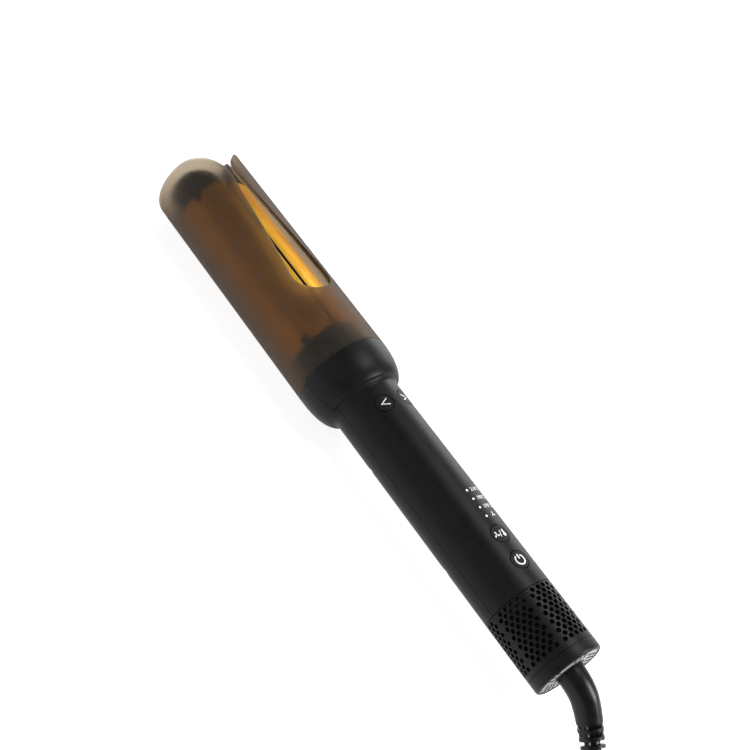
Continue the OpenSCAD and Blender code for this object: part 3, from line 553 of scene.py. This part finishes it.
def cut_fine(verts, faces):
    """The same flat shapes in triangles with edges of PRINT_EDGE or less, so that they can be bent."""
    mesh = bmesh.new()
    corners = [mesh.verts.new((x, y, 0)) for x, y in verts]
    for face in faces:
        mesh.faces.new([corners[k] for k in face])
    for _ in range(CUT_ROUNDS):
        bmesh.ops.triangulate(mesh, faces=mesh.faces[:])
        long_edges = [edge for edge in mesh.edges if edge.calc_length() > PRINT_EDGE]
        bmesh.ops.subdivide_edges(mesh, edges=long_edges, cuts=1)
    bmesh.ops.triangulate(mesh, faces=mesh.faces[:])
    mesh.verts.index_update()
    fine_verts = [(v.co.x, v.co.y) for v in mesh.verts]
    fine_faces = [tuple(v.index for v in face.verts) for face in mesh.faces]
    mesh.free()
    return fine_verts, fine_faces


def printed(name, verts, faces, angle, y, body, radius=HANDLE_R):
    """Flat shapes, given in metres, laid on the handle."""
    verts, faces = cut_fine(verts, faces)
    wrapped = [on_handle(u, v, angle, y, radius + PRINT_UP) for u, v in verts]
    obj = piece(name, wrapped, faces, MATERIALS["print"], body)
    thick = obj.modifiers.new("thickness", "SOLIDIFY")
    thick.thickness = PRINT_T


def ribbon(points, width):
    """A line of even width along 2-D points, as (verts, faces)."""
    last = len(points) - 1
    verts = []
    for i, p in enumerate(points):
        after = points[min(i + 1, last)]
        along = (after - points[max(i - 1, 0)]).normalized()
        across = Vector((-along.y, along.x))
        turn = (after - p).normalized() if i < last else along
        grow = width / 2 / max(SHARPEST_TURN, abs(turn.dot(along)))
        verts += [p - across * grow, p + across * grow]
    faces = [(2 * i, 2 * i + 2, 2 * i + 3, 2 * i + 1) for i in range(last)]
    return verts, faces


def joined(shapes):
    """Several (verts, faces) as one."""
    verts, faces = [], []
    for more_verts, more_faces in shapes:
        faces += [tuple(k + len(verts) for k in face) for face in more_faces]
        verts += more_verts
    return verts, faces


def arc(radius, start, stop, steps, centre=(0, 0)):
    """2-D points on an arc, in metres and degrees counted from the right."""
    turns = [math.radians(start + (stop - start) * i / steps) for i in range(steps + 1)]
    return [Vector((centre[0] + radius * math.cos(turn), centre[1] + radius * math.sin(turn)))
            for turn in turns]


DISC_SIDES = 20


def disc(radius, centre):
    """A filled circle as (verts, faces)."""
    verts = arc(radius, 0, 360 - 360 / DISC_SIDES, DISC_SIDES - 1, centre)
    return verts, [tuple(range(len(verts)))]


ARROW_REACH, ARROW_TIP, ARROW_RISE, ARROW_LINE = 1.9 * MM, 1.995 * MM, 1.805 * MM, 0.55 * MM


def chevron(points_to):
    """An arrow sign that points to the right (1) or to the left (-1)."""
    back = -points_to * ARROW_REACH
    corners = [(back, ARROW_RISE), (points_to * ARROW_TIP, 0), (back, -ARROW_RISE)]
    return ribbon([Vector(corner) for corner in corners], ARROW_LINE)


POWER_R, POWER_LINE = 2.55 * MM, 0.75 * MM
POWER_FROM, POWER_TO, POWER_STEPS = 122, 418, 40
POWER_BAR = 0.4 * MM, 3.0 * MM


def power_sign():
    """A ring open at the top with a bar in the gap."""
    ring = ribbon(arc(POWER_R, POWER_FROM, POWER_TO, POWER_STEPS), POWER_LINE)
    bar = ribbon([Vector((0, height)) for height in POWER_BAR], POWER_LINE)
    return joined([ring, bar])


FAN_HUB = 0.2
BLADE_MIDDLE, BLADE_HALF_LENGTH, BLADE_HALF_WIDTH, BLADE_SWEEP = 0.62, 0.38, 0.24, 0.12
BLADE_POINTS = 16


def fan_sign(size, centre):
    """Three blades round a hub, with every measure a share of the size."""
    shapes = [disc(FAN_HUB * size, centre)]
    for i in range(3):
        turn = math.radians(90 + 120 * i)
        blade = []
        for k in range(BLADE_POINTS):
            a = 2 * math.pi * k / BLADE_POINTS
            x = size * (BLADE_MIDDLE + BLADE_HALF_LENGTH * math.cos(a))
            y = size * (BLADE_HALF_WIDTH * math.sin(a) + BLADE_SWEEP * math.cos(a))
            blade.append(Vector((centre[0] + x * math.cos(turn) - y * math.sin(turn),
                                 centre[1] + x * math.sin(turn) + y * math.cos(turn))))
        shapes.append((blade, [tuple(range(len(blade)))]))
    return joined(shapes)


MODE_FAN_SIZE, MODE_FAN_AT = 1.75 * MM, (-2.3 * MM, 0)
STROKE_FROM, STROKE_TO, STROKE_LINE = (-0.4 * MM, -1.7 * MM), (0.7 * MM, 1.7 * MM), 0.4 * MM
STEM_X, STEM_LOW, STEM_HIGH, STEM_LINE = 2.4 * MM, -0.6 * MM, 1.8 * MM, 0.95 * MM
BULB_R, BULB_Y = 0.95 * MM, -1.05 * MM


def mode_sign():
    """Fan, stroke and thermometer side by side: cool air or heat."""
    fan = fan_sign(MODE_FAN_SIZE, MODE_FAN_AT)
    stroke = ribbon([Vector(STROKE_FROM), Vector(STROKE_TO)], STROKE_LINE)
    stem = ribbon([Vector((STEM_X, STEM_LOW)), Vector((STEM_X, STEM_HIGH))], STEM_LINE)
    bulb = disc(BULB_R, (STEM_X, BULB_Y))
    return joined([fan, stroke, stem, bulb])


FONT_SIZE, FONT_SPACING, FONT_WEIGHT = 1.4, 1.04, 0.012


def number_shapes(text, height):
    """The outline faces of a number, as (verts, faces), starting at its left edge."""
    data = bpy.data.curves.new("number", "FONT")
    data.body = text
    data.size = height * FONT_SIZE
    data.fill_mode = "FRONT"
    data.space_character = FONT_SPACING
    data.offset = height * FONT_WEIGHT
    obj = bpy.data.objects.new("number", data)
    bpy.context.scene.collection.objects.link(obj)
    bpy.context.view_layer.update()
    mesh = obj.evaluated_get(bpy.context.evaluated_depsgraph_get()).to_mesh()
    verts = [Vector((v.co.x, v.co.y)) for v in mesh.vertices]
    faces = [tuple(p.vertices) for p in mesh.polygons]
    bpy.data.objects.remove(obj)
    bpy.data.curves.remove(data)
    return verts, faces


def middle_of(node):
    """(angle round the axis, y) of a node's middle."""
    low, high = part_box(node)
    middle = (low + high) / 2
    return math.atan2(middle.x, middle.z - AXIS_Z), middle.y


BUTTON_SIGNS = {"left_button": chevron(-1), "right_button": chevron(1), "mode_button": mode_sign(),
                "power_button": power_sign()}
LIGHT_LABELS = ["fan", "170°C", "190°C", "210°C"]
LABEL_ANGLE = math.radians(7.5)
LABEL_H = 2.0 * MM
LIGHT_HALF = 1.2 * MM
LABEL_FAN_SIZE, LABEL_FAN_AT = 1.5 * MM, (2.6 * MM, 0)
SIGN_SINK = 0.05 * MM


def make_prints():
    """A sign on each button, and a label beside each light."""
    for button, (verts, faces) in BUTTON_SIGNS.items():
        angle, y = middle_of(button)
        printed(button + "_sign", verts, faces, angle, y, button, HANDLE_R - SIGN_SINK)
    low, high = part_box("light_pipes")
    first, last = low.y + LIGHT_HALF, high.y - LIGHT_HALF
    for i, text in enumerate(LIGHT_LABELS):
        y = first + (last - first) * i / (len(LIGHT_LABELS) - 1)
        if text == "fan":
            verts, faces = fan_sign(LABEL_FAN_SIZE, LABEL_FAN_AT)
        else:
            verts, faces = number_shapes(text, LABEL_H)
            verts = [v - Vector((0, LABEL_H / 2)) for v in verts]
        printed(f"label_{i}", verts, faces, LABEL_ANGLE, y, "root")


make_prints()


# ---- Floor, light and background ----

FLOOR_PROFILE = [(2.0, 0.0), (6.0, 0.0), (6.5, 0.08), (6.8, 0.3), (6.9, 0.9)]
FLOOR_DROP = 0.2 * MM
FLOOR_SIDES = 64
FLOOR_TONES = [(0.48, 0.48, 0.48), (0.52, 0.52, 0.52)]
FLOOR_CLOUD = 0.6
FLOOR_ROUGHNESS = 0.9
FLOOR_GLOW = 0.88


def make_floor():
    """A round pale sheet whose far edge turns up."""
    verts = []
    for radius, height in FLOOR_PROFILE:
        for k in range(FLOOR_SIDES):
            angle = 2 * math.pi * k / FLOOR_SIDES
            verts.append((radius * math.cos(angle), radius * math.sin(angle), height - FLOOR_DROP))
    mesh = bpy.data.meshes.new("floor")
    faces = [*grid_faces(len(FLOOR_PROFILE), FLOOR_SIDES), tuple(range(FLOOR_SIDES))]
    mesh.from_pydata(verts, [], faces)
    floor = bpy.data.objects.new("floor", mesh)
    bpy.context.scene.collection.objects.link(floor)
    material, tree, shader = new_material("floor_white")
    clouds = noise(tree, FLOOR_CLOUD)
    tree.links.new(tones(tree, clouds, FLOOR_TONES), shader.inputs["Base Color"])
    shader.inputs["Roughness"].default_value = FLOOR_ROUGHNESS
    shader.inputs["Emission Color"].default_value = (1, 1, 1, 1)
    shader.inputs["Emission Strength"].default_value = FLOOR_GLOW
    mesh.materials.append(material)


WORLD_STRENGTH = 0.16
# Each lamp: name, place, point it faces, size in metres, power in watts
LAMPS = [
    ("key", (0.22, 0.04, 1.0), (0, 0, 0), (0.24, 0.45), 5),
    ("side", (0.98, 0.4, 0.36), (0, 0, 0.02), (0.7, 0.5), 5.5),
    ("fill", (-0.9, 0.3, 0.6), (0, 0, 0), (0.8, 0.8), 1.5),
    ("tail", (0.29, -0.485, 0.40), (0, -0.18, 0.02), (0.12, 0.3), 4.2),
]


def area_light(name, at, target, size, power):
    """A rectangular lamp that faces its target."""
    data = bpy.data.lights.new(name, "AREA")
    data.shape = "RECTANGLE"
    data.size, data.size_y = size
    data.energy = power
    lamp = bpy.data.objects.new(name, data)
    bpy.context.scene.collection.objects.link(lamp)
    lamp.location = at
    lamp.rotation_mode = "QUATERNION"
    lamp.rotation_quaternion = (Vector(target) - Vector(at)).to_track_quat("-Z", "Y")


def make_light():
    """An even white world and four soft lamps."""
    world = bpy.data.worlds.new("studio")
    bpy.context.scene.world = world
    world.use_nodes = True
    background = world.node_tree.nodes["Background"]
    background.inputs["Color"].default_value = (1, 1, 1, 1)
    background.inputs["Strength"].default_value = WORLD_STRENGTH
    for lamp in LAMPS:
        area_light(*lamp)


make_floor()
make_light()
bpy.context.scene.view_settings.view_transform = "Standard"
